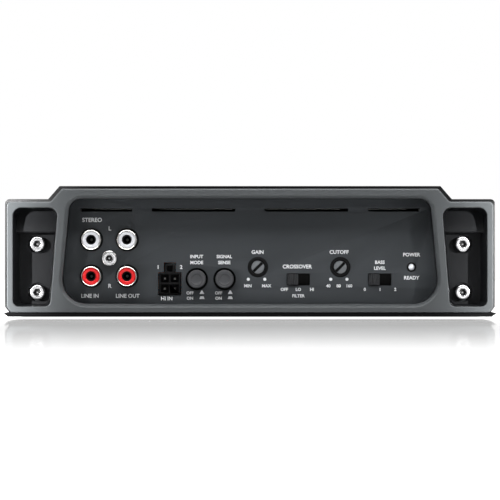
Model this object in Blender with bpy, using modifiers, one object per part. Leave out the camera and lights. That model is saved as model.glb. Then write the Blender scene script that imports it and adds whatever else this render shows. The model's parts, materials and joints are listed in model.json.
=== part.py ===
"""Two-channel car amplifier, about 206 x 260 x 55 mm, as an assembly of separate pieces.

Frame: metres, +Z up, +X to the right as seen from the control end, which faces -Y. The origin is
the centre of the bottom plate's underside. Sizes below are in millimetres and are multiplied by MM
where they enter a mesh or a location.
"""

import math

import bmesh
import bpy

MM = 0.001
GAP = 0.3  # between pieces that touch on the real amplifier

# Driving dimensions of the case
WIDTH, LENGTH, HEIGHT = 206.0, 260.0, 54.8
EAR_TOP = 49.3  # top of the lower shoulder at each side
SLANT_FOOT, SLANT_HEAD = 84.9, 80.1  # half widths where the raised centre meets the ears and its top
FRAME_DEPTH = 18.0  # length along Y of each cast end frame
RIM = 1.3  # step from the chassis outline down to the end frame outline
SIDE_RIM, SLANT_RIM = 1.0, 1.6  # the same step at the sides and, measured along X, at the slants
CORNER_CUT = 1.7  # chamfer along both lower edges of the case and at the plate's corners
M4_CLEAR_R, M3_CLEAR_R, M3_R = 2.2, 1.8, 1.5
PLATE = 1.5  # sheet thickness of the bottom plate and of both panels
PLATE_FLARE = 1.9  # how much further the top of the bottom plate reaches at each side
RECESS = 14.0  # from the end frame's face down to its panel
FRONT = -LENGTH / 2
CHASSIS_END = LENGTH / 2 - FRAME_DEPTH - GAP
FLOOR = PLATE + GAP  # underside of everything that stands on the bottom plate

# Recess opening in an end frame: a trapezoid, wider at the bottom
OPENING_TOP, OPENING_BOTTOM = 49.3, 5.5
OPENING_TOP_HALF, OPENING_BOTTOM_HALF = 75.2, 79.3
OPENING_TOP_R, OPENING_BOTTOM_R = 5.2, 10.0
CHAMFER = 1.9  # round the front edge of the opening
REBATE, PANEL_LAP = 2.6, 2.1  # how far the panel's seat and the panel reach past the opening

# Pocket in each ear
POCKET_TOP, POCKET_BOTTOM = 45.6, 4.3
POCKET_OUTER, POCKET_INNER_TOP, POCKET_INNER_BOTTOM = 99.0, 80.3, 83.6
POCKET_DEPTH, POCKET_DRAFT, POCKET_OUTER_DRAFT = 11.0, 0.9, 2.3
LEDGE_BOTTOM, LEDGE_TOP_DEPTH, LEDGE_BOTTOM_DEPTH = 35.3, 9.0, 6.0
EAR_SCREW_X, EAR_SCREW_ZS = 89.1, (30.4, 10.2)
EAR_SCREW_NAMES = ("upper", "lower")
POCKET_LOW_R, POCKET_HIGH_R = 2.5, 3.5
EAR_SCREW_HEAD_R, EAR_SCREW_HEAD, EAR_SCREW_SHANK_R, EAR_SCREW_KEY_R = 3.18, 3.6, 1.9, 1.65
THREAD_DEEP = 6.0  # of the ear screws in the chassis
KEY_FLOOR = 0.35  # height of a key socket's floor, as a share of the head's height

# Mounting notches in the ears' outer sides, each with a screw hole in its floor
NOTCH_X, NOTCH_Y, NOTCH_R, NOTCH_FLOOR = 92.5, 97.0, 5.0, 4.8
MOUNT_HOLE_R = 2.6

# Chassis
CAVITY_HALF, CAVITY_TOP = 77.0, 46.5
EAR_HOLLOW = (85.0, 99.5, 86.0, 44.8)  # inner X, outer X, half length, top
GROOVES, GROOVE_PITCH, GROOVE_WIDTH, GROOVE_DEPTH, GROOVE_HALF = 15, 9.6, 5.2, 4.5, 98.0

# Main board, on which everything electrical stands
BOARD_TOP, BOARD_THICK, BOARD_HALF = 8.0, 1.6, 73.5
STAND = BOARD_TOP + GAP
TRANSFORMER_AT, TRANSFORMER_R, TRANSFORMER_CORE_R, TRANSFORMER_HIGH = (-32.0, 12.0), 30.0, 9.0, 29.0
CLAMP_R, CLAMP_BOLT_R, CLAMP_THICK = 14.0, 3.0, 3.0
CHOKE_AT, CHOKE_R, CHOKE_CORE_R, CHOKE_HIGH = (32.0, 62.0), 13.5, 5.0, 13.0
CAPACITORS_AT = {"rear": (30.0, 22.0), "front": (30.0, -6.0)}
CAPACITOR_R, CAPACITOR_HIGH = 11.0, 36.0
PACKAGE, CLAMP_BAR = (-52.0, -36.0, 5.0), (-66.0, 6.0, 3.7)  # from and to along Y, thickness

# Control panel layout: X and Z of each fitting's centre
PANEL_FACE = FRONT + RECESS
PANEL_BACK = PANEL_FACE + PLATE
JACK_XS, JACK_ZS = {"left": -66.6, "right": -51.6}, {"upper": 32.2, "lower": 16.9}
JACK_R, JACK_BORE_R, JACK_OUT, JACK_PIN_R, JACK_SEAT = 4.25, 3.65, 8.5, 1.75, 5.0
JACK_BLOCK_XS, JACK_BLOCK_TOP, JACK_BLOCK_DEEP = (-74.0, -44.5), 37.5, 15.0
BLOCK_SCREW, BLOCK_SCREW_LONG = (-59.1, 24.5), 9.0
SOCKET = (-33.7, 13.8)
SOCKET_WIDE, SOCKET_HIGH, SOCKET_TAB_WIDE, SOCKET_TAB_HIGH = 9.06, 8.9, 4.3, 4.1
CELL_PITCH, CELL_HALF = 4.2, 1.65
BUTTON_XS, BUTTON_Z, BUTTON_R, BUTTON_TRAVEL = {"left": -22.4, "right": -10.7}, 15.7, 3.85, 2.5
BUTTON_OUT = 3.5
TRIM_XS, TRIM_Z, TRIM_R, TRIM_COLLAR_R = {"level": 3.3, "filter": 37.9}, 20.7, 2.7, 4.0
SLIDE_XS, SLIDE_Z, SLIDE_WINDOW = {"filter": 20.3, "bass": 54.5}, 15.5, (9.7, 5.1)
SLIDER_WIDE = 4.5
LED = (67.8, 20.7)
LED_R, LED_HOLE_R = 1.5, 2.1
VENTS = ((-71.3, -49.6), (-41.2, -6.2), (6.2, 41.2), (49.6, 71.3))
VENT_Z, VENT_HIGH = 44.7, 1.4

# Terminal panel layout, X as seen in the amplifier's own frame
BLOCK_OUT = 8.5  # how far terminals and fuses stand out of their panel
TERMINAL_THREAD = 6.0
BLOCK_LOW, BLOCK_HIGH = 9.0, 33.0
POWER_X, POWER_PITCH, POWER_CELL, POWER_SCREW_R = 46.0, 14.0, 12.0, 4.4
SPEAKER_X, SPEAKER_PITCH, SPEAKER_CELL, SPEAKER_SCREW_R = -42.0, 11.5, 9.6, 3.4
TERMINAL_SCREW_Z, CELL_DEPTH, CELL_TOP = 22.5, 7.0, 29.5
FUSE_XS, FUSE_SIZE = {"left": -2.5, "right": 10.5}, (5.2, 12.0, 19.0)
FUSE_HOLDER_X = 4.0

ROUND = 28  # sides of a round piece
HOLE_SIDES = 20
FACING = {"front": (math.pi / 2, 0, 0), "rear": (math.pi / 2, 0, math.pi)}
MATERIALS = {}


def clear_scene():
    for thing in list(bpy.data.objects):
        bpy.data.objects.remove(thing, do_unlink=True)


def collection(name):
    made = bpy.data.collections.new(name)
    bpy.context.scene.collection.children.link(made)
    return made


def material(name, colour, roughness, metallic=0.0):
    """A Principled material for one piece. Colour is linear red, green, blue."""
    made = MATERIALS.get(name)
    if made is None:
        made = bpy.data.materials.new(name)
        made.use_nodes = True
        shader = made.node_tree.nodes["Principled BSDF"]
        shader.inputs["Base Color"].default_value = (*colour, 1.0)
        shader.inputs["Roughness"].default_value = roughness
        shader.inputs["Metallic"].default_value = metallic
        MATERIALS[name] = made
    return made


# Looks: name, linear colour, roughness, metallic
CAST = ("charcoal_casting", (0.115, 0.122, 0.128), 0.42, 0.55)
BLACK_ALLOY = ("black_anodised", (0.012, 0.012, 0.013), 0.45, 0.5)
BLACK_STEEL = ("black_steel", (0.01, 0.01, 0.01), 0.5, 0.3)
PANEL_PAINT = ("panel_paint", (0.045, 0.048, 0.054), 0.6, 0.0)
BRIGHT = ("bright_zinc", (0.82, 0.82, 0.84), 0.22, 1.0)
NICKEL = ("nickel", (0.75, 0.74, 0.72), 0.18, 1.0)
WHITE = ("white_plastic", (0.78, 0.78, 0.77), 0.4, 0.0)
RED = ("red_plastic", (0.72, 0.02, 0.028), 0.38, 0.0)
BLACK = ("black_plastic", (0.012, 0.012, 0.013), 0.45, 0.0)
GREY = ("grey_plastic", (0.07, 0.072, 0.08), 0.5, 0.0)
ROTOR = ("rotor_grey", (0.3, 0.31, 0.32), 0.4, 0.3)
LENS = ("clear_lens", (0.85, 0.87, 0.9), 0.12, 0.0)
BOARD_GREEN = ("board_green", (0.015, 0.09, 0.04), 0.5, 0.0)
COPPER = ("enamelled_copper", (0.45, 0.17, 0.07), 0.35, 0.8)
SLEEVE = ("capacitor_sleeve", (0.015, 0.02, 0.05), 0.4, 0.0)
FUSE_AMBER = ("fuse_plastic", (0.75, 0.28, 0.02), 0.25, 0.0)


def keep(thing, name, look, where=(0, 0, 0), facing=None):
    """Names a finished piece, gives it its look and puts its origin at a place given in mm."""
    thing.name = name
    thing.data.name = name
    thing.data.materials.clear()
    thing.data.materials.append(material(*look))
    thing.location = [c * MM for c in where]
    if facing:
        thing.rotation_euler = FACING[facing]
    return thing


def as_cutter(thing, name):
    thing.name = name
    thing.hide_render = True
    thing.display_type = "WIRE"
    PARTS.objects.unlink(thing)
    CUTTERS.objects.link(thing)
    return thing


def place_cutter(thing, name, where, facing="front"):
    thing.location = [c * MM for c in where]
    thing.rotation_euler = FACING[facing]
    return as_cutter(thing, name)


def combine(thing, other, operation="DIFFERENCE"):
    step = thing.modifiers.new(other.name, "BOOLEAN")
    step.operation = operation
    step.solver = "EXACT"
    step.object = other


def from_mesh(mesh, name="piece"):
    thing = bpy.data.objects.new(name, mesh)
    PARTS.objects.link(thing)
    return thing


def box(low, high):
    """A block between two corners in mm, its origin at the world's origin."""
    mesh = bpy.data.meshes.new("block")
    work = bmesh.new()
    bmesh.ops.create_cube(work, size=1.0)
    for v in work.verts:
        v.co = [(a + b) / 2 * MM + c * (b - a) * MM for a, b, c in zip(low, high, v.co)]
    work.to_mesh(mesh)
    work.free()
    return from_mesh(mesh)


def rod(radius, low, high, sides=ROUND):
    """A cylinder, or with few sides a prism, along local Z between two heights in mm."""
    mesh = bpy.data.meshes.new("rod")
    work = bmesh.new()
    bmesh.ops.create_cone(work, cap_ends=True, segments=sides, radius1=radius * MM,
                          radius2=radius * MM, depth=(high - low) * MM)
    for v in work.verts:
        v.co.z += (high + low) / 2 * MM
    work.to_mesh(mesh)
    work.free()
    return from_mesh(mesh)


def turned(profile, closed=False, sides=ROUND):
    """Turns a profile of (radius, height) points in mm about local Z with a Screw modifier."""
    mesh = bpy.data.meshes.new("turned")
    work = bmesh.new()
    verts = [work.verts.new((r * MM, 0, h * MM)) for r, h in profile]
    for a, b in zip(verts, verts[1:]):
        work.edges.new((a, b))
    if closed:
        work.edges.new((verts[-1], verts[0]))
    work.to_mesh(mesh)
    work.free()
    thing = from_mesh(mesh)
    spin = thing.modifiers.new("turn", "SCREW")
    spin.steps = spin.render_steps = sides
    spin.use_merge_vertices = True
    spin.merge_threshold = 0.00001
    return thing


def ring(inner, outer, low, high):
    return turned([(inner, high), (outer, high), (outer, low), (inner, low)], closed=True)


def settled(thing):
    """Replaces a piece by its evaluated mesh, so that it can be copied or cut again."""
    bpy.context.view_layer.update()
    mesh = bpy.data.meshes.new_from_object(thing.evaluated_get(bpy.context.evaluated_depsgraph_get()))
    work = bmesh.new()
    work.from_mesh(mesh)
    bmesh.ops.remove_doubles(work, verts=work.verts, dist=0.000002)
    work.to_mesh(mesh)
    work.free()
    bpy.data.objects.remove(thing, do_unlink=True)
    return from_mesh(mesh)


def rounded(corners, steps=5):
    """An outline of (x, y, radius) corners, listed anticlockwise, with each corner as an arc."""
    points = []
    count = len(corners)
    for i, (x, y, radius) in enumerate(corners):
        px, py, _ = corners[i - 1]
        nx, ny, _ = corners[(i + 1) % count]
        if radius <= 0:
            points.append((x, y))
            continue
        back = math.atan2(py - y, px - x)
        ahead = math.atan2(ny - y, nx - x)
        opening = (back - ahead) % (2 * math.pi)
        convex = opening < math.pi
        half = opening / 2 if convex else math.pi - opening / 2
        reach = radius / math.sin(half)
        middle = ahead + opening / 2 + (0 if convex else math.pi)
        cx, cy = x + reach * math.cos(middle), y + reach * math.sin(middle)
        sweep = math.pi - 2 * half
        start = middle + math.pi - (sweep if convex else -sweep) / 2
        for k in range(steps + 1):
            angle = start + (sweep if convex else -sweep) * k / steps
            points.append((cx + radius * math.cos(angle), cy + radius * math.sin(angle)))
    return points


def mirrored(points):
    return [(-x, y) for x, y in reversed(points)]


def plate(outline, thick):
    """A flat outline in local XY, anticlockwise, thickened along local Z from 0 to thick mm."""
    curve = bpy.data.curves.new("outline", "CURVE")
    curve.dimensions = "2D"
    curve.fill_mode = "BOTH"
    curve.extrude = thick / 2 * MM
    line = curve.splines.new("POLY")
    line.points.add(len(outline) - 1)
    for point, (x, y) in zip(line.points, outline):
        point.co = (x * MM, y * MM, 0, 1)
    line.use_cyclic_u = True
    thing = settled(from_mesh(curve))
    for v in thing.data.vertices:
        v.co.z += thick / 2 * MM
    return thing


def drafted(sections):
    """A body drawn through sections of (height, outline), every outline with as many points.

    The first section is filled, extruded and its copy moved to the next outline, so that a
    drafted wall keeps its corners."""
    mesh = bpy.data.meshes.new("drafted")
    work = bmesh.new()
    height, outline = sections[0]
    face = work.faces.new([work.verts.new((x * MM, y * MM, height * MM)) for x, y in outline])
    loop = list(face.verts)
    for height, outline in sections[1:]:
        new = bmesh.ops.extrude_face_region(work, geom=[face])["geom"]
        pairs = {v: n for v in loop for n in new
                 if isinstance(n, bmesh.types.BMVert) and (n.co - v.co).length < 1e-9}
        if height != sections[1][0]:
            work.faces.remove(face)
        face = next(n for n in new if isinstance(n, bmesh.types.BMFace))
        loop = [pairs[v] for v in loop]
        for v, (x, y) in zip(loop, outline):
            v.co = (x * MM, y * MM, height * MM)
    bmesh.ops.recalc_face_normals(work, faces=work.faces)
    work.to_mesh(mesh)
    work.free()
    return from_mesh(mesh)


def smooth(thing, degrees=35):
    thing.data.shade_smooth()
    thing.data.set_sharp_from_angle(angle=math.radians(degrees))


def case_outline(top_drop=0.0, side_drop=0.0, bottom=FLOOR):
    """The stepped silhouette, lowered by top_drop along its top and by side_drop at its sides."""
    lean = SLANT_RIM * top_drop / RIM
    half = WIDTH / 2 - side_drop
    right = [(half - CORNER_CUT, bottom, 0.0), (half, bottom + 2.3, 0.0), (half, EAR_TOP - top_drop, 1.8),
             (SLANT_FOOT - lean, EAR_TOP - top_drop, 0.0), (SLANT_HEAD - lean, HEIGHT - top_drop, 0.0)]
    return rounded(right + [(-x, y, r) for x, y, r in reversed(right)], steps=4)


def opening_outline(grow=0.0):
    corners = [(OPENING_BOTTOM_HALF + grow, OPENING_BOTTOM - grow, OPENING_BOTTOM_R + grow),
               (OPENING_TOP_HALF + grow, OPENING_TOP + grow, OPENING_TOP_R + grow)]
    return rounded(corners + [(-x, y, r) for x, y, r in reversed(corners)], steps=7)


def pocket_outline(share):
    """The right ear's pocket at its mouth, share 0, down to its floor, share 1."""
    pull, outer_pull = POCKET_DRAFT * share, POCKET_OUTER_DRAFT * share
    return rounded([(POCKET_INNER_BOTTOM + pull, POCKET_BOTTOM + pull, POCKET_LOW_R),
                    (POCKET_OUTER - outer_pull, POCKET_BOTTOM + pull, POCKET_LOW_R),
                    (POCKET_OUTER - outer_pull, POCKET_TOP - pull, POCKET_HIGH_R),
                    (POCKET_INNER_TOP + pull, POCKET_TOP - pull, POCKET_HIGH_R)], steps=5)


def pocket_cutter(side, facing, face_y):
    """The space of one ear's pocket, with the sloped ledge in its upper part left standing."""
    line = [pocket_outline(0.0), pocket_outline(1.0)]
    if side == "left":
        line = [mirrored(points) for points in line]
    body = drafted([(1.0, line[0]), (0.0, line[0]), (-POCKET_DEPTH, line[1])])
    place_cutter(body, f"{facing}_{side}_pocket", (0, face_y, 0), facing)
    middle, wide = (POCKET_OUTER + POCKET_INNER_TOP) / 2, 24.0
    ledge = plate([(-POCKET_DEPTH - 1, LEDGE_BOTTOM), (-LEDGE_BOTTOM_DEPTH, LEDGE_BOTTOM),
                   (-LEDGE_TOP_DEPTH, POCKET_TOP + 1), (-POCKET_DEPTH - 1, POCKET_TOP + 1)], wide)
    for v in ledge.data.vertices:
        depth, high, across = v.co
        v.co = ((middle if side == "right" else -middle) * MM + wide / 2 * MM - across, high, depth)
    place_cutter(ledge, f"{facing}_{side}_ledge", (0, face_y, 0), facing)
    combine(body, ledge)
    return body


def end_frame(facing):
    """One cast end frame: a ring round the recess with a drafted pocket in each ear."""
    face_y = FRONT if facing == "front" else -FRONT
    thing = plate(case_outline(RIM, SIDE_RIM), FRAME_DEPTH)
    for v in thing.data.vertices:
        v.co.z -= FRAME_DEPTH * MM
    keep(thing, f"{facing}_end_frame", CAST, (0, face_y, 0), facing)
    mouth = drafted([(1.0, opening_outline(CHAMFER)), (0.0, opening_outline(CHAMFER)),
                     (-CHAMFER, opening_outline()), (-FRAME_DEPTH - 1, opening_outline())])
    combine(thing, place_cutter(mouth, f"{facing}_recess", (0, face_y, 0), facing))
    seat = plate(opening_outline(REBATE), FRAME_DEPTH)
    for v in seat.data.vertices:
        v.co.z -= (RECESS - GAP + FRAME_DEPTH) * MM
    combine(thing, place_cutter(seat, f"{facing}_panel_seat", (0, face_y, 0), facing))
    for side, sign in (("left", -1), ("right", 1)):
        combine(thing, pocket_cutter(side, facing, face_y))
        for level, z in zip(EAR_SCREW_NAMES, EAR_SCREW_ZS):
            hole = rod(M4_CLEAR_R, -FRAME_DEPTH - 1, 0, HOLE_SIDES)
            name = f"{facing}_{side}_{level}_frame_hole"
            combine(thing, place_cutter(hole, name, (sign * EAR_SCREW_X, face_y, z), facing))
    return thing


def chassis():
    """The finned body: open underneath and at both ends, hollow in the ears."""
    thing = plate(case_outline(), 2 * CHASSIS_END)
    for v in thing.data.vertices:
        v.co.z -= CHASSIS_END * MM
    keep(thing, "heatsink_chassis", BLACK_ALLOY, facing="front")
    inner, outer, half, top = EAR_HOLLOW
    spaces = {"electronics_space": ((-CAVITY_HALF, -LENGTH, -1), (CAVITY_HALF, LENGTH, CAVITY_TOP)),
              "left_ear_hollow": ((-outer, -half, -1), (-inner, half, top)),
              "right_ear_hollow": ((inner, -half, -1), (outer, half, top))}
    for name, (low, high) in spaces.items():
        combine(thing, as_cutter(box(low, high), name))
    for i in range(GROOVES):
        x = (i - (GROOVES - 1) / 2) * GROOVE_PITCH
        groove = box((x - GROOVE_WIDTH / 2, -GROOVE_HALF, HEIGHT - GROOVE_DEPTH),
                     (x + GROOVE_WIDTH / 2, GROOVE_HALF, HEIGHT + 1))
        combine(thing, as_cutter(groove, f"groove_{i + 1}"))
    for sign_x, sign_y, corner in CORNERS:
        tip, mouth = NOTCH_X - NOTCH_R, WIDTH / 2 + 1
        outline = rounded([(tip, -NOTCH_R, NOTCH_R - 0.01), (mouth, -NOTCH_R, 0),
                           (mouth, NOTCH_R, 0), (tip, NOTCH_R, NOTCH_R - 0.01)], steps=6)
        notch = plate(outline if sign_x > 0 else mirrored(outline), HEIGHT)
        notch.location = (0, sign_y * NOTCH_Y * MM, NOTCH_FLOOR * MM)
        combine(thing, as_cutter(notch, f"{corner}_mounting_notch"))
        hole = rod(MOUNT_HOLE_R, 0, NOTCH_FLOOR + 1, HOLE_SIDES)
        hole.location = (sign_x * NOTCH_X * MM, sign_y * NOTCH_Y * MM, 0)
        combine(thing, as_cutter(hole, f"{corner}_mounting_hole"))
    for facing, sign_y in (("front", -1), ("rear", 1)):
        for sign_x, side in ((-1, "left"), (1, "right")):
            for level, z in zip(EAR_SCREW_NAMES, EAR_SCREW_ZS):
                hole = rod(M4_CLEAR_R, -THREAD_DEEP - 0.5, 1.0, HOLE_SIDES)
                name = f"{facing}_{side}_{level}_tapped_hole"
                where = (sign_x * EAR_SCREW_X, sign_y * CHASSIS_END, z)
                combine(thing, place_cutter(hole, name, where, facing))
    return thing


def bottom_plate():
    half_x, half_y = WIDTH / 2, LENGTH / 2
    in_x, in_y = half_x - CORNER_CUT, half_y - CORNER_CUT
    outline = [(half_x, -in_y), (half_x, in_y), (in_x, half_y), (-in_x, half_y), (-half_x, in_y),
               (-half_x, -in_y), (-in_x, -half_y), (in_x, -half_y)]
    thing = keep(plate(outline, PLATE), "bottom_plate", BLACK_STEEL)
    for v in thing.data.vertices:
        if v.co.z < PLATE / 2 * MM:
            v.co.x *= 1 - PLATE_FLARE / half_x
    for sign_x, sign_y, corner in CORNERS:
        hole = rod(MOUNT_HOLE_R, -1, PLATE + 1, HOLE_SIDES)
        hole.location = (sign_x * NOTCH_X * MM, sign_y * NOTCH_Y * MM, 0)
        combine(thing, as_cutter(hole, f"{corner}_plate_hole"))
    return thing


def panel_blank(name, facing):
    face_y = PANEL_FACE if facing == "front" else -PANEL_FACE
    thing = plate(opening_outline(PANEL_LAP), PLATE)
    for v in thing.data.vertices:
        v.co.z -= PLATE * MM
    return keep(thing, name, PANEL_PAINT, (0, face_y, 0), facing)


def round_hole(thing, name, x, z, radius, face_y, facing="front"):
    hole = rod(radius, -PLATE - 1, 1, HOLE_SIDES + 4)
    combine(thing, place_cutter(hole, name, (x, face_y, z), facing))


def square_hole(thing, name, low_x, high_x, low_z, high_z, face_y):
    hole = box((low_x, face_y - 4, low_z), (high_x, face_y + 4, high_z))
    combine(thing, as_cutter(hole, name))


def control_panel():
    thing = panel_blank("control_panel", "front")
    y = PANEL_FACE
    for side, x in JACK_XS.items():
        for level, z in JACK_ZS.items():
            round_hole(thing, f"jack_hole_{level}_{side}", x, z, JACK_R + 0.7, y)
    round_hole(thing, "block_screw_hole", *BLOCK_SCREW, M3_CLEAR_R, y)
    for side, x in BUTTON_XS.items():
        round_hole(thing, f"button_hole_{side}", x, BUTTON_Z, BUTTON_R + 0.9, y)
    for use, x in TRIM_XS.items():
        round_hole(thing, f"trim_hole_{use}", x, TRIM_Z, TRIM_COLLAR_R + GAP, y)
    for use, x in SLIDE_XS.items():
        wide, high = SLIDE_WINDOW
        square_hole(thing, f"slide_window_{use}", x - wide / 2, x + wide / 2,
                    SLIDE_Z - high / 2, SLIDE_Z + high / 2, y)
    round_hole(thing, "led_hole", *LED, LED_HOLE_R, y)
    for i, (low, high) in enumerate(VENTS):
        square_hole(thing, f"vent_{i + 1}", low, high, VENT_Z - VENT_HIGH / 2, VENT_Z + VENT_HIGH / 2, y)
    x, z = SOCKET
    wide, top = SOCKET_WIDE / 2 + GAP, SOCKET_HIGH / 2 + GAP
    square_hole(thing, "socket_window", x - wide, x + wide, z - top, z + top, y)
    tab = SOCKET_TAB_WIDE / 2 + GAP
    square_hole(thing, "socket_tab_window", x - tab, x + tab, z, z + top + SOCKET_TAB_HIGH, y)
    return thing


def terminal_panel():
    thing = panel_blank("terminal_panel", "rear")
    y = -PANEL_FACE
    for name, x, half in BLOCKS:
        square_hole(thing, f"{name}_window", x - half - GAP, x + half + GAP, BLOCK_LOW - GAP,
                    BLOCK_HIGH + GAP, y)
    for i, (low, high) in enumerate(VENTS):
        square_hole(thing, f"rear_vent_{i + 1}", low, high, VENT_Z - VENT_HIGH / 2,
                    VENT_Z + VENT_HIGH / 2, y)
    return thing


def cap_screw(head_r, head_high, shank_r, shank_long, key_r, sides=6):
    """A screw with its head on local Z above 0, its shank below and a key socket in the head."""
    body = turned([(0, head_high), (head_r - 0.4, head_high), (head_r, head_high - 0.4), (head_r, 0),
                   (shank_r, 0), (shank_r, -shank_long), (0, -shank_long)], sides=HOLE_SIDES)
    key = rod(key_r, head_high * KEY_FLOOR, head_high + 1, sides)
    combine(body, as_cutter(key, "key_socket"))
    made = settled(body)
    bpy.data.objects.remove(key, do_unlink=True)
    smooth(made)
    return made


def frame_screws():
    """Eight socket-head screws that hold both end frames to the chassis."""
    shank = FRAME_DEPTH - POCKET_DEPTH + THREAD_DEEP
    pattern = cap_screw(EAR_SCREW_HEAD_R, EAR_SCREW_HEAD, EAR_SCREW_SHANK_R, shank, EAR_SCREW_KEY_R)
    for facing, sign_y in (("front", -1), ("rear", 1)):
        for sign_x, side in ((-1, "left"), (1, "right")):
            for level, z in zip(EAR_SCREW_NAMES, EAR_SCREW_ZS):
                seat = sign_y * (LENGTH / 2 - POCKET_DEPTH + GAP)
                keep(from_mesh(pattern.data.copy()), f"{facing}_frame_screw_{side}_{level}", BRIGHT,
                     (sign_x * EAR_SCREW_X, seat, z), facing)
    bpy.data.objects.remove(pattern, do_unlink=True)


def rca_jacks():
    """The jack block behind the panel, its four shells with coloured insulators and its screw."""
    block_front, block_back = PANEL_BACK + GAP, PANEL_BACK + JACK_BLOCK_DEEP
    left, right = JACK_BLOCK_XS
    block = box((left, block_front, STAND), (right, block_back, JACK_BLOCK_TOP))
    keep(block, "rca_block", BLACK)
    shell_end = block_front + JACK_SEAT
    for side, x in JACK_XS.items():
        for level, z in JACK_ZS.items():
            seat = rod(JACK_R + GAP, -JACK_SEAT - GAP, 1, HOLE_SIDES)
            combine(block, place_cutter(seat, f"jack_seat_{level}_{side}", (x, block_front, z)))
            where = (x, PANEL_FACE, z)
            inside = PANEL_FACE - shell_end
            shell = ring(JACK_BORE_R, JACK_R, inside, JACK_OUT)
            smooth(keep(shell, f"rca_shell_{level}_{side}", NICKEL, where, "front"))
            insulator = ring(JACK_PIN_R, JACK_BORE_R - GAP, inside, JACK_OUT - 0.5)
            colour = WHITE if level == "upper" else RED
            smooth(keep(insulator, f"rca_insulator_{level}_{side}", colour, where, "front"))
    x, z = BLOCK_SCREW
    hole = rod(M3_CLEAR_R, -BLOCK_SCREW_LONG, 1, HOLE_SIDES)
    combine(block, place_cutter(hole, "block_screw_seat", (x, block_front, z)))
    screw = cap_screw(3.3, 2.2, M3_R, BLOCK_SCREW_LONG, 1.6, sides=4)
    keep(screw, "rca_block_screw", BRIGHT, (x, PANEL_FACE - GAP, z), "front")


def speaker_input_socket():
    """A four-way header with a cell round each contact and a latch tower above."""
    x, z = SOCKET
    front, back = PANEL_FACE - 0.6, PANEL_BACK + 9.0
    wide, high, tab = SOCKET_WIDE / 2, SOCKET_HIGH / 2, SOCKET_TAB_WIDE / 2
    outline = [(x - wide, z - high), (x + wide, z - high), (x + wide, z + high), (x + tab, z + high),
               (x + tab, z + high + SOCKET_TAB_HIGH), (x - tab, z + high + SOCKET_TAB_HIGH),
               (x - tab, z + high), (x - wide, z + high)]
    thing = keep(plate(outline, back - front), "speaker_input_socket", BLACK, (0, back, 0), "front")
    for i in range(4):
        cx = x + (i % 2 - 0.5) * CELL_PITCH
        cz = z + (i // 2 - 0.5) * CELL_PITCH
        cell = box((cx - CELL_HALF, front - 1, cz - CELL_HALF),
                   (cx + CELL_HALF, back - 2.5, cz + CELL_HALF))
        combine(thing, as_cutter(cell, f"contact_cell_{i + 1}"))
    groove = box((x - 1.2, front - 1, z + high + 0.6), (x + 1.2, back - 5, z + high + SOCKET_TAB_HIGH - 1.2))
    combine(thing, as_cutter(groove, "latch_groove"))


def push_buttons():
    """Two caps that travel into the panel, each with its origin on its axis, and their switches."""
    back = BUTTON_OUT - 7.5  # of the cap, measured out of the panel's face
    for side, x in BUTTON_XS.items():
        cap = turned([(0, BUTTON_OUT - 0.6), (2.3, BUTTON_OUT - 0.5), (2.6, BUTTON_OUT),
                      (BUTTON_R - 0.4, BUTTON_OUT), (BUTTON_R, BUTTON_OUT - 0.4), (BUTTON_R, back),
                      (0, back)])
        smooth(keep(cap, f"button_cap_{side}", GREY, (x, PANEL_FACE, BUTTON_Z), "front"))
        front = PANEL_FACE - back + BUTTON_TRAVEL + GAP
        body = box((x - 5.0, front, STAND), (x + 5.0, front + 11.0, BUTTON_Z + 5.0))
        keep(body, f"push_switch_{side}", BLACK)


def trim_controls():
    """Two slotted rotors, each turning in the collar of its own potentiometer."""
    for use, x in TRIM_XS.items():
        rotor = rod(TRIM_R, -8.0, 0.0)
        slot = box((-4, -0.6, -1.1), (4, 0.6, 1.0))
        slot.rotation_euler = (0, 0, math.radians(45))
        slot.parent = rotor
        combine(rotor, as_cutter(slot, f"rotor_slot_{use}"))
        smooth(keep(rotor, f"trim_rotor_{use}", ROTOR, (x, PANEL_FACE, TRIM_Z), "front"))
        body = box((x - 5.2, PANEL_BACK + GAP, STAND), (x + 5.2, PANEL_BACK + 10.3, TRIM_Z + 5.2))
        keep(body, f"trim_body_{use}", BLACK)
        collar = rod(TRIM_COLLAR_R, -PLATE - 2.0, 0.3)
        combine(body, place_cutter(collar, f"collar_{use}", (x, PANEL_FACE, TRIM_Z)), "UNION")
        bore = rod(TRIM_R + GAP, -8.0 - GAP, 2.0)
        combine(body, place_cutter(bore, f"rotor_bore_{use}", (x, PANEL_FACE, TRIM_Z)))


def slide_switches():
    """Two sliders, each at the left end of its window, and the switch that each one works."""
    wide, high = SLIDE_WINDOW
    for use, x in SLIDE_XS.items():
        left = x - wide / 2 + GAP
        slider = box((0, -0.9, -high / 2 + GAP), (SLIDER_WIDE, PLATE + 3.2, high / 2 - GAP))
        keep(slider, f"slider_{use}", BLACK, (left, PANEL_FACE, SLIDE_Z))
        front, back = PANEL_BACK + GAP, PANEL_BACK + 8.0
        body = box((x - 8.0, front, STAND), (x + 8.0, back, SLIDE_Z + 4.2))
        keep(body, f"slide_switch_{use}", BLACK)
        track = box((x - wide / 2, front - 1, SLIDE_Z - high / 2), (x + wide / 2, front + 3.3,
                                                                    SLIDE_Z + high / 2))
        combine(body, as_cutter(track, f"track_{use}"))


def power_led():
    lens = turned([(0, 0.9), (0.8, 0.75), (LED_R - 0.25, 0.3), (LED_R, -0.3), (LED_R, -4.6),
                   (LED_R + 0.35, -4.6), (LED_R + 0.35, -5.6), (0, -5.6)], sides=24)
    smooth(keep(lens, "power_led", LENS, (LED[0], PANEL_FACE, LED[1]), "front"))


def main_board():
    end = -PANEL_BACK - 1.0
    board = box((-BOARD_HALF, -end, BOARD_TOP - BOARD_THICK), (BOARD_HALF, end, BOARD_TOP))
    keep(board, "main_board", BOARD_GREEN)


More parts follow.
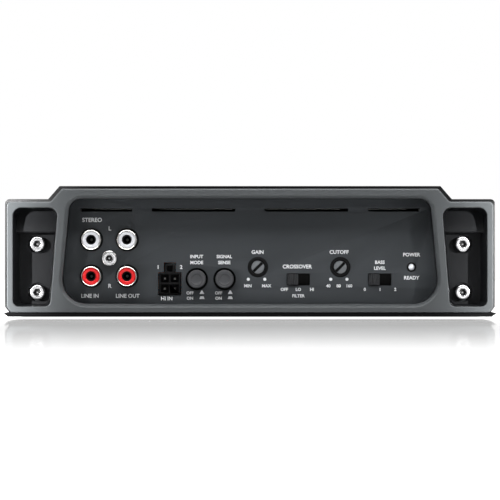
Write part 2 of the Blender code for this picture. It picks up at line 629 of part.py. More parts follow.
def donut(outer, inner, high, corner):
    """A wound ring core's outer shape: a rounded rectangle turned about local Z."""
    section = rounded([(inner, 0, corner), (outer, 0, corner), (outer, high, corner),
                       (inner, high, corner)], steps=2)
    return turned(list(reversed(section)), closed=True)


def power_supply():
    """Ring transformer with its clamp disc, filter choke and reservoir capacitors."""
    winding = donut(TRANSFORMER_R, TRANSFORMER_CORE_R, TRANSFORMER_HIGH, 7.0)
    smooth(keep(winding, "power_transformer", COPPER, (*TRANSFORMER_AT, STAND)))
    low, high = TRANSFORMER_HIGH + GAP, TRANSFORMER_HIGH + CLAMP_THICK
    clamp = turned([(0, high), (CLAMP_R, high), (CLAMP_R, low), (CLAMP_BOLT_R, low), (CLAMP_BOLT_R, 0),
                    (0, 0)])
    smooth(keep(clamp, "transformer_clamp", BLACK_STEEL, (*TRANSFORMER_AT, STAND)))
    choke = donut(CHOKE_R, CHOKE_CORE_R, CHOKE_HIGH, 4.0)
    smooth(keep(choke, "filter_choke", COPPER, (*CHOKE_AT, STAND)))
    r, top = CAPACITOR_R, CAPACITOR_HIGH
    for name, (x, y) in CAPACITORS_AT.items():
        can = turned([(0, top), (r - 2.0, top), (r - 0.5, top - 1.0), (r, top - 2.5), (r, 1.0),
                      (r - 0.7, 0), (0, 0)])
        smooth(keep(can, f"capacitor_{name}", SLEEVE, (x, y, STAND)))


def output_stage():
    """One power transistor package on each side wall, pressed to it by a clamp bar."""
    for side, sign in (("left", -1), ("right", 1)):
        wall = CAVITY_HALF - GAP
        low_y, high_y, thick = PACKAGE
        near, far = sorted((sign * wall, sign * (wall - thick)))
        package = box((near, low_y, STAND + 4.0), (far, high_y, STAND + 25.0))
        keep(package, f"output_transistor_{side}", BLACK)
        low_y, high_y, bar_thick = CLAMP_BAR
        back = wall - thick - GAP
        near, far = sorted((sign * back, sign * (back - bar_thick)))
        bar = box((near, low_y, STAND + 9.0), (far, high_y, STAND + 19.0))
        keep(bar, f"transistor_clamp_{side}", BRIGHT)


def terminal_block(name, x, half, cells, pitch, cell, screw_r):
    """A barrier strip: one open cell for each wire, with a clamp screw in each."""
    face, back = -PANEL_FACE + BLOCK_OUT, -PANEL_BACK - 7.0
    block = keep(box((x - half, back, BLOCK_LOW), (x + half, face, BLOCK_HIGH)), name, BLACK)
    screw = cap_screw(screw_r, 2.4, 1.9, TERMINAL_THREAD, 1.5, sides=4)
    short = name.replace("_block", "")
    floor = face - CELL_DEPTH
    for i in range(cells):
        cx = x + (i - (cells - 1) / 2) * pitch
        space = box((cx - cell / 2, floor, BLOCK_LOW - 1), (cx + cell / 2, face + 1, CELL_TOP))
        combine(block, as_cutter(space, f"{short}_cell_{i + 1}"))
        hole = rod(M4_CLEAR_R, -TERMINAL_THREAD - GAP, 1.0, HOLE_SIDES)
        where = (cx, floor, TERMINAL_SCREW_Z)
        combine(block, place_cutter(hole, f"{short}_tapped_hole_{i + 1}", where, "rear"))
        keep(from_mesh(screw.data.copy()), f"{short}_screw_{i + 1}", BRIGHT,
             (cx, floor + GAP, TERMINAL_SCREW_Z), "rear")
    bpy.data.objects.remove(screw, do_unlink=True)


def fuses():
    """A holder with a pocket for each blade fuse; a fuse pulls straight out along +Y."""
    face, back = -PANEL_FACE + 3.0, -PANEL_BACK - 12.0
    _, _, half = BLOCKS[1]
    holder = box((FUSE_HOLDER_X - half, back, BLOCK_LOW), (FUSE_HOLDER_X + half, face, BLOCK_HIGH))
    keep(holder, "fuse_holder", BLACK)
    thick, deep, tall = FUSE_SIZE
    middle = (BLOCK_LOW + BLOCK_HIGH) / 2
    pocket_floor = -PANEL_FACE + BLOCK_OUT - deep
    for side, x in FUSE_XS.items():
        pocket = box((x - thick / 2 - GAP, pocket_floor - GAP, middle - tall / 2 - GAP),
                     (x + thick / 2 + GAP, face + 1, middle + tall / 2 + GAP))
        combine(holder, as_cutter(pocket, f"fuse_pocket_{side}"))
        body = box((-thick / 2, -deep, -tall / 2), (thick / 2, 0, tall / 2))
        keep(body, f"fuse_{side}", FUSE_AMBER, (x, -PANEL_FACE + BLOCK_OUT, middle))
        for end, sign in (("upper", 1), ("lower", -1)):
            z = sign * 5.5
            blade = box((-0.35, -deep - 7.0, z - 2.6), (0.35, -deep + 1.0, z + 2.6))
            blade.parent = body
            combine(body, as_cutter(blade, f"fuse_blade_{end}_{side}"), "UNION")
            slot = box((x - 0.65, pocket_floor - 7.6, middle + z - 2.9),
                       (x + 0.65, pocket_floor + 1, middle + z + 2.9))
            combine(holder, as_cutter(slot, f"blade_slot_{end}_{side}"))


BLOCKS = (("power_terminal_block", POWER_X, 22.0), ("fuse_holder", FUSE_HOLDER_X, 14.0),
          ("speaker_terminal_block", SPEAKER_X, 24.0))
CORNERS = [(sx, sy, f"{fore}_{side}") for sy, fore in ((-1, "front"), (1, "rear"))
           for sx, side in ((-1, "left"), (1, "right"))]

clear_scene()
PARTS = collection("car_amplifier")
CUTTERS = collection("car_amplifier_cutters")

chassis()
bottom_plate()
end_frame("front")
end_frame("rear")
frame_screws()
control_panel()
terminal_panel()
rca_jacks()
speaker_input_socket()
push_buttons()
trim_controls()
slide_switches()
power_led()
main_board()
power_supply()
output_stage()
terminal_block(*BLOCKS[0], 3, POWER_PITCH, POWER_CELL, POWER_SCREW_R)
terminal_block(*BLOCKS[2], 4, SPEAKER_PITCH, SPEAKER_CELL, SPEAKER_SCREW_R)
fuses()
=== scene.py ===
# %% [markdown]
# # A car amplifier, seen from its control end
#
# The case of a car amplifier is a finned aluminium body between two cast end frames, with a steel
# plate underneath. Everything is in metres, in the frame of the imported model: +X to the right of
# the control end, +Y towards the terminals, +Z up. Shapes below are written in millimetres and
# turned into metres as they enter a mesh.

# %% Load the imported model
import json
import math

import bmesh
import bpy
import numpy as np
from mathutils.geometry import tessellate_polygon
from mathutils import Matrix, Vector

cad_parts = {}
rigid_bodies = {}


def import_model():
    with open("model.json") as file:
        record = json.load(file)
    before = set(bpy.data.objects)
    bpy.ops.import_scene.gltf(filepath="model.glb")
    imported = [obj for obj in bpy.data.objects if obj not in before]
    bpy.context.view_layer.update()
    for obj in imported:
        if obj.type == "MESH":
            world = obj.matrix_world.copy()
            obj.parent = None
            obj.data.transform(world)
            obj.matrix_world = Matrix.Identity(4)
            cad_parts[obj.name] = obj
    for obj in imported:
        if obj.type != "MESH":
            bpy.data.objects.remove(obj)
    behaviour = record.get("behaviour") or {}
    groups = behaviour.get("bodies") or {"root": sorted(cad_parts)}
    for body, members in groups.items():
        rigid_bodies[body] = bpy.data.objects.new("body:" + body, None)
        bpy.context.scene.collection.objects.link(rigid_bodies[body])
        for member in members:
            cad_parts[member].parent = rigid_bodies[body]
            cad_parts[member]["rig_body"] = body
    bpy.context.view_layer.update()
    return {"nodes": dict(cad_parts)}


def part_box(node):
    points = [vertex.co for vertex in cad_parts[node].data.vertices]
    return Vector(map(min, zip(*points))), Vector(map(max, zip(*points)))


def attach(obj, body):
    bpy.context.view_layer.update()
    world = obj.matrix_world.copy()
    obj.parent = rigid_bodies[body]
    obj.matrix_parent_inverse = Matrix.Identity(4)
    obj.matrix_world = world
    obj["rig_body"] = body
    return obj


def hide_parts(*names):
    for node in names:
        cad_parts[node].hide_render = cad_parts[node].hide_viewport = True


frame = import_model()
MM = 0.001


# %% [markdown]
# ## Reading places from the frame
#
# Every fitting stands where its node stands, so the script asks the frame for a node's box and
# works from there, instead of repeating a list of places.

# %% Boxes and faces in millimetres
def box_mm(node):
    low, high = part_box(node)
    return np.array(low) / MM, np.array(high) / MM


def rear_middle(node):
    """The middle of a node's rear face, and the node's length from front to rear."""
    low, high = box_mm(node)
    return np.array([(low[0] + high[0]) / 2, high[1], (low[2] + high[2]) / 2]), high[1] - low[1]


FRONT_LOW, FRONT_HIGH = box_mm("front_end_frame")
HALF_WIDTH, FRAME_TOP, FRAME_BOTTOM = FRONT_HIGH[0], FRONT_HIGH[2], FRONT_LOW[2]
FRAME_DEPTH = FRONT_HIGH[1] - FRONT_LOW[1]
FACE = -FRONT_LOW[1]  # distance from the centre of the case to either end frame's face
PANEL_FACE = -box_mm("control_panel")[0][1]
print("end frame", HALF_WIDTH, FRAME_TOP, FRAME_BOTTOM, "deep", FRAME_DEPTH, "panel at", PANEL_FACE)


# %% [markdown]
# ## Surfaces as arrays
#
# Nearly every piece is a stack of rings: an outline that moves and changes from one depth to the
# next. One function turns a stack of rings into quads, another fills a flat region that may have
# holes, and a third welds such patches into one closed mesh.

# %% Rings, fills and meshes
def skin(rings):
    """Quads between neighbouring rings: ring i, point j joins ring i + 1, point j + 1."""
    rings = np.asarray(rings, float)
    count, around = rings.shape[:2]
    i, j = np.meshgrid(np.arange(count - 1), np.arange(around), indexing="ij")
    k = (j + 1) % around
    quads = np.stack([i * around + j, i * around + k, (i + 1) * around + k, (i + 1) * around + j], -1)
    return rings.reshape(-1, 3), quads.reshape(-1, 4).tolist()


def fill(*loops):
    """Triangles over a flat region: the first loop is its edge, the others are holes in it."""
    points = np.concatenate([np.asarray(loop, float) for loop in loops])
    return points, [list(t) for t in tessellate_polygon([[tuple(p) for p in loop] for loop in loops])]


def sheet_of(name, patches):
    """A mesh of patches in mm, laid side by side and not yet joined."""
    starts = np.cumsum([0] + [len(points) for points, _ in patches])
    points = np.concatenate([points for points, _ in patches]) * MM
    faces = [[int(start) + i for i in face] for start, (_, part) in zip(starts, patches) for face in part]
    mesh = bpy.data.meshes.new(name)
    mesh.from_pydata(points, [], faces)
    return mesh


def mesh_from(name, patches, weld=0.0005, second=()):
    """One closed mesh from patches in mm: points nearer than weld become one, normals point out.
    The patches in second come after the others and take the piece's second finish."""
    mesh = sheet_of(name, [*patches, *second])
    first, faces = sum(len(part) for _, part in patches), mesh.polygons
    faces.foreach_set("material_index", (np.arange(len(faces)) >= first).astype(np.int32))
    work = bmesh.new()
    work.from_mesh(mesh)
    bmesh.ops.remove_doubles(work, verts=work.verts, dist=weld * MM)
    bmesh.ops.dissolve_degenerate(work, edges=work.edges, dist=weld * MM)
    bmesh.ops.recalc_face_normals(work, faces=work.faces)
    work.to_mesh(mesh)
    work.free()
    return mesh


def piece(name, mesh, look, body="amplifier_body", stands_for=(), sharp=38, inner=None):
    """Puts a finished mesh in the scene, smooth except at real corners, riding on its body."""
    thing = bpy.data.objects.new(name, mesh)
    bpy.context.scene.collection.objects.link(thing)
    for finish_of in (look, inner) if inner else (look,):
        mesh.materials.append(finish_of)
    mesh.shade_smooth()
    mesh.set_sharp_from_angle(angle=math.radians(sharp))
    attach(thing, body)
    if stands_for:
        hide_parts(*stands_for)
    return thing


# %% [markdown]
# An outline with round corners is a list of corners with radii. Each corner becomes an arc that
# touches both of its sides, so two outlines with the same corners have the same number of points
# and can be joined point by point, whatever their sizes.

# %% Outlines
def rounded(corners, steps=8):
    """Anticlockwise outline of (x, z, radius) corners: each one an arc tangent to its sides."""
    points = []
    for i, (x, z, radius) in enumerate(corners):
        before, after = np.array(corners[i - 1][:2]), np.array(corners[(i + 1) % len(corners)][:2])
        back = math.atan2(before[1] - z, before[0] - x)
        ahead = math.atan2(after[1] - z, after[0] - x)
        opening = (back - ahead) % (2 * math.pi)
        convex = opening < math.pi
        half = opening / 2 if convex else math.pi - opening / 2
        centre_way = ahead + opening / 2 + (0 if convex else math.pi)
        centre = np.array([x, z]) + radius / math.sin(half) * np.array(
            [math.cos(centre_way), math.sin(centre_way)])
        sweep = (math.pi - 2 * half) * (1 if convex else -1)
        turn = centre_way + math.pi - sweep / 2 + sweep * np.linspace(0, 1, steps + 1)
        points.append(centre + radius * np.stack([np.cos(turn), np.sin(turn)], 1))
    return np.concatenate(points)


def both_sides(right):
    """A symmetric outline from its right half's corners, which run from the bottom to the top."""
    return right + [(-x, z, r) for x, z, r in reversed(right)]


def at_y(outline, y):
    """Lays an (x, z) outline at one y, or at a y for each of its points."""
    return np.stack([outline[:, 0], np.broadcast_to(y, len(outline)), outline[:, 1]], 1)


def at_depth(outline, depth, side):
    """Lays an (x, z) outline at a depth in from the face of the front (-1) or rear (1) end."""
    return at_y(outline, side * (FACE - depth))


def quarter(steps=6):
    """A quarter ellipse from (0, 0) to (1, 1), as shares of its width and of its height."""
    angle = np.linspace(0, math.pi / 2, steps + 1)
    return np.sin(angle), 1 - np.cos(angle)


# %% [markdown]
# ## Finishes
#
# Every finish is a Principled shader fed by noise in Object coordinates. A finished piece stands at
# the origin, so those coordinates are metres on the real amplifier: a grain of 0.3 mm is a noise
# scale of about 3000. One noise gives the grain (bump and roughness), a slower one gives the slight
# unevenness of colour that keeps a large surface from looking flat.

# %% A general finish
def srgb(*values):
    """Linear colour from 0-255 screen values."""
    v = np.array(values) / 255.0
    return tuple(np.where(v <= 0.04045, v / 12.92, ((v + 0.055) / 1.055) ** 2.4))


def finish(name, slot, colour, metallic=0.0, rough=0.4, grain_mm=0.3, bump=0.1, rough_spread=0.08,
           mottle=0.06, mottle_mm=18.0, stretch=(1, 1, 1), coat=0.0, coat_rough=0.1, specular=0.5):
    """A Principled material: fine noise drives bump and roughness, slow noise drives colour."""
    made = bpy.data.materials.new(name)
    made["slot"] = slot
    made.use_nodes = True
    nodes, links = made.node_tree.nodes, made.node_tree.links
    shader = nodes["Principled BSDF"]
    shader.inputs["Metallic"].default_value = metallic
    shader.inputs["Specular IOR Level"].default_value = specular
    shader.inputs["Coat Weight"].default_value = coat
    shader.inputs["Coat Roughness"].default_value = coat_rough
    place = nodes.new("ShaderNodeTexCoord")
    stretched = nodes.new("ShaderNodeMapping")
    stretched.inputs["Scale"].default_value = stretch
    links.new(place.outputs["Object"], stretched.inputs["Vector"])
    fine = nodes.new("ShaderNodeTexNoise")
    fine.inputs["Scale"].default_value = 1 / (grain_mm * MM)
    fine.inputs["Detail"].default_value = 4.0
    links.new(stretched.outputs["Vector"], fine.inputs["Vector"])
    slow = nodes.new("ShaderNodeTexNoise")
    slow.inputs["Scale"].default_value = 1 / (mottle_mm * MM)
    slow.inputs["Detail"].default_value = 3.0
    links.new(place.outputs["Object"], slow.inputs["Vector"])
    tint = nodes.new("ShaderNodeMapRange")
    tint.inputs["To Min"].default_value = 1 - mottle
    tint.inputs["To Max"].default_value = 1 + mottle
    links.new(slow.outputs["Fac"], tint.inputs["Value"])
    shade = nodes.new("ShaderNodeVectorMath")
    shade.operation = "SCALE"
    shade.inputs[0].default_value = colour
    links.new(tint.outputs["Result"], shade.inputs["Scale"])
    links.new(shade.outputs["Vector"], shader.inputs["Base Color"])
    dull = nodes.new("ShaderNodeMapRange")
    dull.inputs["From Min"].default_value = 0.3
    dull.inputs["From Max"].default_value = 0.7
    dull.inputs["To Min"].default_value = rough - rough_spread
    dull.inputs["To Max"].default_value = rough + rough_spread
    links.new(fine.outputs["Fac"], dull.inputs["Value"])
    links.new(dull.outputs["Result"], shader.inputs["Roughness"])
    relief = nodes.new("ShaderNodeBump")
    relief.inputs["Strength"].default_value = bump
    relief.inputs["Distance"].default_value = grain_mm * MM * 0.5
    links.new(fine.outputs["Fac"], relief.inputs["Height"])
    links.new(relief.outputs["Normal"], shader.inputs["Normal"])
    return made


CAST = finish("textured_charcoal_casting", "charcoal_casting", srgb(74, 77, 79), metallic=0.3,
              rough=0.42, grain_mm=0.22, bump=0.16, mottle=0.05)
# Painted shade: the deep walls of the recess and the pockets in the ears take this darker finish instead of
# the casting's, standing in for the shade that falls there.
SHADE_PAINTED_HOLLOW = finish("painted_shade_in_casting", "charcoal_casting", srgb(17, 18, 20), rough=0.5,
                grain_mm=0.3, bump=0.2, mottle=0.08, specular=0.15)
BODY_BLACK = finish("satin_black_body", "black_anodised", srgb(9, 9, 10), rough=0.42,
                    grain_mm=0.35, bump=0.12, stretch=(1, 0.08, 1), mottle=0.12, specular=0.1)
PLATE_BLACK = finish("black_powder_coat", "black_steel", srgb(5, 5, 6), rough=0.6, grain_mm=0.5,
                     bump=0.25, specular=0.08)
PANEL = finish("matte_panel_paint", "panel_paint", srgb(58, 61, 64), rough=0.62, grain_mm=0.25,
               bump=0.12, mottle=0.05, specular=0.2)
ZINC = finish("bright_zinc", "bright_zinc", srgb(238, 238, 240), metallic=1.0, rough=0.22,
              grain_mm=0.12, bump=0.05, mottle=0.03, mottle_mm=3)
KEY_HOLE_PAINTED_SHADE = finish("painted_shade_in_key_hole", "bright_zinc", srgb(16, 16, 17), metallic=0.2, rough=0.6,
                   grain_mm=0.15, bump=0.2)
NICKEL = finish("nickel_plate", "nickel", srgb(232, 230, 226), metallic=1.0, rough=0.14,
                grain_mm=0.2, bump=0.03, mottle=0.03, mottle_mm=4)
WHITE = finish("white_moulding", "white_plastic", srgb(200, 201, 205), rough=0.38, grain_mm=0.3,
               bump=0.04, mottle=0.02)
RED = finish("red_moulding", "red_plastic", srgb(212, 14, 20), rough=0.34, grain_mm=0.3, bump=0.04,
             mottle=0.03)
# Black moulding for the real black parts, and also painted shade: the linings of the jack bores and the
# sheets in the rotor slots.
BLACK = finish("black_moulding_and_painted_shade", "black_plastic", srgb(7, 7, 8), rough=0.46, grain_mm=0.3,
               bump=0.12, specular=0.18)
SLIDER = finish("slider_moulding", "black_plastic", srgb(45, 46, 48), rough=0.5, grain_mm=0.3, bump=0.1,
                specular=0.3)
TARNISHED = finish("tarnished_contact", "nickel", srgb(205, 204, 200), metallic=0.4, rough=0.55,
                   grain_mm=0.2, bump=0.1)
GREY = finish("dark_grey_moulding", "grey_plastic", srgb(58, 59, 62), rough=0.5, grain_mm=0.25,
              bump=0.1)
ROTOR = finish("grey_rotor", "rotor_grey", srgb(102, 105, 108), rough=0.4, grain_mm=0.25, bump=0.08)
INK = finish("white_print", "panel_paint", srgb(222, 224, 226), rough=0.55, grain_mm=0.2, bump=0.1,
             mottle=0.04, mottle_mm=2)
LENS = finish("led_lens", "clear_lens", srgb(236, 240, 246), rough=0.12, grain_mm=0.5, bump=0.02,
              mottle=0.02, coat=1.0, coat_rough=0.04)
BOARD = finish("solder_mask", "board_green", srgb(22, 74, 40), rough=0.35, grain_mm=1.4, bump=0.2,
               mottle=0.25, mottle_mm=5, coat=0.5)
COPPER = finish("enamelled_wire", "enamelled_copper", srgb(168, 88, 48), metallic=0.85, rough=0.3,
                grain_mm=0.8, bump=0.06, mottle=0.12, mottle_mm=6, coat=0.6)
SLEEVE = finish("shrink_sleeve", "capacitor_sleeve", srgb(28, 34, 58), rough=0.3, grain_mm=0.6,
                bump=0.05)
AMBER = finish("amber_fuse", "fuse_plastic", srgb(214, 126, 22), rough=0.2, grain_mm=0.5, bump=0.03,
               mottle=0.03, coat=0.6)
print("finishes", len(bpy.data.materials))


# %% [markdown]
# ## The end frames
#
# Each end frame is one casting: a stepped outline, a large recess for the panel and a deep pocket in
# each ear. The walls have draft, so that the casting leaves its mould, and every edge is rounded.
# Blender could cut and bevel a block, but a bevel stops where two cuts come close. Carrying a
# profile along each outline gives the same rounding everywhere, and only the flat face between the
# outlines is then left to fill.

# %% Outlines of the frame, its mouth and its pockets
STEP_FOOT, STEP_HEAD, EAR_DROP = 83.3, 78.6, 5.4  # half widths of the slant, height of the step
SIDE_SLACK = 0.35  # how far inside the node's sides the casting stays, so that the body shows past it
MOUTH_HEAD, MOUTH_FOOT = (75.2, 49.3, 5.2), (79.3, 5.5, 10.0)  # half width, height, corner radius


def frame_outline(side_in=0.0, top_in=0.0, bottom_in=0.0, corner=1.9):
    """The stepped silhouette, moved in by separate amounts at its sides, top and bottom."""
    wide, top = HALF_WIDTH - SIDE_SLACK - side_in, FRAME_TOP - top_in
    lean, low, ear = top_in * 0.33, FRAME_BOTTOM + bottom_in, top - EAR_DROP
    return rounded(both_sides([(wide - 1.7, low, 0.8), (wide, low + 2.3, 0.8), (wide, ear, corner),
                               (STEP_FOOT - lean, ear, 1.2), (STEP_HEAD - lean, top, 1.2)]))


def mouth_outline(grow=0.0):
    """The recess: a trapezoid, wider at the bottom, grown evenly by grow mm."""
    (foot, low, low_r), (head, high, high_r) = MOUTH_FOOT, MOUTH_HEAD
    return rounded(both_sides([(foot + grow, low - grow, low_r + grow),
                               (head + grow, high + grow, high_r + grow)]), steps=14)


POCKET_LOW, POCKET_HIGH, POCKET_DEEP = 4.3, 45.6, 11.0
POCKET_LEVELS = np.array([34.9, 35.05, 35.3, 35.8, 36.6])  # heights where the ledge bends
BEYOND_BEND = 18  # a pocket outline's first point above its two lower corners


def pocket_depth(z):
    """Depth of a pocket's floor: 11 mm below the ledge, then 6 mm sloping back to 9 mm."""
    return np.interp(z, [*POCKET_LEVELS, POCKET_HIGH], [POCKET_DEEP, 7.0, 6.3, 6.0, 6.1, 8.6])


def pocket_outline(draft=0.0, grow=0.0):
    """A right ear's pocket: grown at its mouth, or drawn in by its draft (0 mouth, 1 floor)."""
    pull = 0.9 * draft - grow
    outer = 99.0 - 2.3 * draft + grow
    low, high = POCKET_LOW + pull, POCKET_HIGH - pull
    loop = rounded([(83.6 + pull, low, 2.5 + grow), (outer, low, 2.5 + grow),
                    (outer, high, 3.5 + grow), (80.3 + pull, high, 3.5 + grow)])
    right_low, right_high = loop[BEYOND_BEND - 1], loop[BEYOND_BEND]
    left_high, left_low = loop[-1], loop[0]
    right = right_low + (right_high - right_low) * share_at(right_low, right_high, POCKET_LEVELS)
    left = left_high + (left_low - left_high) * share_at(left_high, left_low, POCKET_LEVELS[::-1])
    return np.concatenate([loop[:BEYOND_BEND], right, loop[BEYOND_BEND:], left])


def share_at(start, end, heights):
    """Shares of the way from start to end at which a straight side passes the given heights."""
    return ((heights - start[1]) / (end[1] - start[1]))[:, None]


print("outline points", len(frame_outline()), len(mouth_outline()), len(pocket_outline()))


# %% One end frame
SCREW_X, SCREW_ZS, COUNTERBORE = 89.1, (30.4, 10.2), 3.9
RIM_WIDE, RIM_DEEP = 0.42, 0.5  # the round where a pocket's wall meets the face


def ring_of(radius, centre, depth, side, around=40):
    """A circle round (x, z), seen face on at a depth in from the end frame's face."""
    turn = np.arange(around) * 2 * math.pi / around
    loop = np.stack([centre[0] + radius * np.cos(turn), centre[1] + radius * np.sin(turn)], 1)
    return at_depth(loop, depth, side)


def pocket_patches(side, hand):
    """Rim, drafted wall, sloped ledge and floor of the pocket in the right (1) or left (-1) ear."""
    def laid(loop, depth):
        return at_depth(loop * [hand, 1], depth, side)

    across, down = quarter()
    rim = [laid(pocket_outline(grow=RIM_WIDE + 0.08), 0.0)]
    rim += [laid(pocket_outline(grow=RIM_WIDE * (1 - a)), RIM_DEEP * d) for a, d in zip(across, down)]
    mouth, foot = pocket_outline(), pocket_outline(draft=1.0)
    depth = pocket_depth(foot[:, 1])
    share = ((depth - RIM_DEEP) / (POCKET_DEEP - RIM_DEEP))[:, None]
    landing = mouth + (foot - mouth) * share
    walls = [rim[-1]]
    for step in (0.35, 0.7, 0.96, 1.0):
        walls.append(laid(mouth + (landing - mouth) * step, RIM_DEEP + (depth - RIM_DEEP) * step))
    floor = walls[-1]
    count = len(POCKET_LEVELS)
    right, left = BEYOND_BEND + np.arange(count), np.arange(len(floor) - count, len(floor))
    low_edge = np.concatenate([floor[:BEYOND_BEND + 1], floor[-1:]])
    bores, inside = [], []
    for z in SCREW_ZS:
        bore = [ring_of(r, (hand * SCREW_X, z), d, side)
                for r, d in ((COUNTERBORE + 0.25, POCKET_DEEP), (COUNTERBORE + 0.2, POCKET_DEEP),
                             (COUNTERBORE, POCKET_DEEP + 0.2), (COUNTERBORE, POCKET_DEEP + 1.4),
                             (2.2, POCKET_DEEP + 1.4))]
        bores.append(bore[0])
        inside += [skin(bore), fill(bore[-1])]
    inside += [skin(walls), fill(low_edge, *bores)]
    for k in range(count - 1):
        quad = np.array([floor[right[k]], floor[right[k + 1]], floor[left[-2 - k]], floor[left[-1 - k]]])
        inside.append((quad, [[0, 1, 2, 3]]))
    inside.append(fill(np.concatenate([floor[right[-1]:left[0] + 1]])))
    return rim, inside


def end_frame(name, side):
    """The whole casting: outer wall and its round, mouth, pockets, and the flat between them."""
    across, down = quarter(8)
    full, small = frame_outline(), frame_outline(side_in=0.4, top_in=0.8, bottom_in=0.35, corner=1.4)
    drop = 0.5
    outer = [at_depth(full, d, side) for d in (FRAME_DEPTH, FRAME_DEPTH - 0.3, 1.4)]
    outer += [at_depth(full + (small - full) * a, drop * (1 - d), side) for a, d in zip(down, across)]
    flat = frame_outline(side_in=0.5, top_in=0.9, bottom_in=0.45, corner=1.3)
    outer.append(at_depth(flat, 0.0, side))
    mouth = [at_depth(mouth_outline(grow), depth, side)
             for grow, depth in ((1.8, 0.0), (1.7, 0.0), (1.52, 0.05), (1.36, 0.18), (0.28, 1.42),
                                 (0.1, 1.72), (0.0, 2.2), (0.0, 13.4), (0.0, 13.7), (2.6, 13.7),
                                 (2.6, FRAME_DEPTH - 0.2), (2.6, FRAME_DEPTH))]
    patches = [skin(outer), skin(mouth[:6]), fill(outer[0], mouth[-1])]
    # The mouth's walls deeper than its round, and each pocket below its rim, take the second finish, which
    # is painted shade.
    rims, shaded_hollows = [], [skin(mouth[5:])]
    for hand in (-1, 1):
        rim, inside = pocket_patches(side, hand)
        rims.append(rim[0])
        patches.append(skin(rim))
        shaded_hollows += inside
    patches.append(fill(outer[-1], mouth[0], *rims))
    mesh = mesh_from(name, patches, second=shaded_hollows)
    return piece(name + "_casting", mesh, CAST, stands_for=(name,), inner=SHADE_PAINTED_HOLLOW)


for name, side in (("front_end_frame", -1), ("rear_end_frame", 1)):
    made = end_frame(name, side)
    print(made.name, len(made.data.polygons), "faces")


# %% [markdown]
# ## Blocks that keep the node's own shape
#
# Plates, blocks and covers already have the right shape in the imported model, but their edges are
# razor sharp, and no real edge is. A copy of the node's mesh is merged, its flat regions joined, and
# a narrow Bevel run round every corner, so that each edge catches a thin line of light.

# %% Softened copies
def softened(node, look, width=0.25, segments=2):
    """A copy of a node with its flat faces joined and its corners rounded by width mm."""
    source = frame["nodes"][node]
    work = bmesh.new()
    work.from_mesh(source.data)
    bmesh.ops.remove_doubles(work, verts=work.verts, dist=0.000003)
    bmesh.ops.dissolve_limit(work, angle_limit=math.radians(0.5), verts=work.verts, edges=work.edges)
    mesh = bpy.data.meshes.new(node)
    work.to_mesh(mesh)
    work.free()
    thing = bpy.data.objects.new(node + "_finished", mesh)
    bpy.context.scene.collection.objects.link(thing)
    mesh.materials.clear()
    mesh.materials.append(look)
    mesh.shade_smooth()
    bevel = thing.modifiers.new("edges", "BEVEL")
    bevel.width = width * MM
    bevel.segments = segments
    bevel.limit_method = "ANGLE"
    bevel.angle_limit = math.radians(30)
    bevel.use_clamp_overlap = True
    bevel.harden_normals = True
    body = source["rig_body"]
    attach(thing, body)
    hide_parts(node)
    return thing


softened("heatsink_chassis", BODY_BLACK, 0.25, 2)
softened("bottom_plate", PLATE_BLACK, 0.3, 2)
for name in ("control_panel", "terminal_panel"):
    softened(name, PANEL, 0.12, 2)
for name in ("speaker_input_socket", "power_terminal_block", "speaker_terminal_block", "fuse_holder",
             "rca_block", "push_switch_left", "push_switch_right", "slide_switch_filter",
             "slide_switch_bass"):
    softened(name, BLACK, 0.2, 2)
for use in ("level", "filter"):
    softened("trim_body_" + use, BLACK, 0.12, 2)
    softened("trim_rotor_" + use, ROTOR, 0.12, 2)
softened("main_board", BOARD, 0.08, 1)
for side in ("left", "right"):
    softened("output_transistor_" + side, BLACK, 0.3, 2)
    softened("transistor_clamp_" + side, ZINC, 0.3, 2)
    softened("fuse_" + side, AMBER, 0.45, 3)

# %% [markdown]
# ## Turned pieces
#
# Screws, jacks, buttons and capacitors are turned: a profile of radius and height goes once round an
# axis. A Screw modifier would do that too, but here the radius may also change with the angle, so
# the same function cuts a hexagonal key hole, a cross, a knurled rim or the ridges of a winding. A
# key hole is lined inside with painted shade and keeps a bright burr where the drill stopped.

# %% One turning function for every direction
SIDES = 48  # of a turned piece, unless it says otherwise
DIRECTIONS = {"front": ((1, 0, 0), (0, 0, 1), (0, -1, 0)), "rear": ((-1, 0, 0), (0, 0, 1), (0, 1, 0)),
              "up": ((1, 0, 0), (0, 1, 0), (0, 0, 1))}


def turned(profile, at, facing, around=SIDES, spin=0.0):
    """Point i, j stands at: place + radius_i(turn_j) x (cos, sin of turn_j) + height_i outwards."""
    across, up, out = (np.array(way, float) for way in DIRECTIONS[facing])
    turn = np.arange(around) * 2 * math.pi / around + spin
    radius = np.array([np.broadcast_to(r, around) for r, _ in profile], float)[..., None]
    height = np.array([np.broadcast_to(h, around) for _, h in profile], float)[..., None]
    spokes = np.cos(turn)[:, None] * across + np.sin(turn)[:, None] * up
    return skin(np.asarray(at, float) + radius * spokes + height * out)


def hexagon(apothem):
    """Radius of a hexagon at each angle: its apothem over the cosine of the angle from mid-side."""
    turn = np.arange(SIDES) * 360 / SIDES
    return apothem / np.cos(np.radians(turn % 60 - 30))


def cross(arm, waist):
    """Radius of a four-armed recess: a narrow waist that swells to the arm's length four times."""
    turn = np.arange(SIDES) * 2 * math.pi / SIDES
    return waist + (arm - waist) * (0.5 + 0.5 * np.cos(4 * turn)) ** 3


def knurled(radius, depth):
    """A radius that is smaller by depth at every other point."""
    return radius - depth * (np.arange(SIDES) % 2)


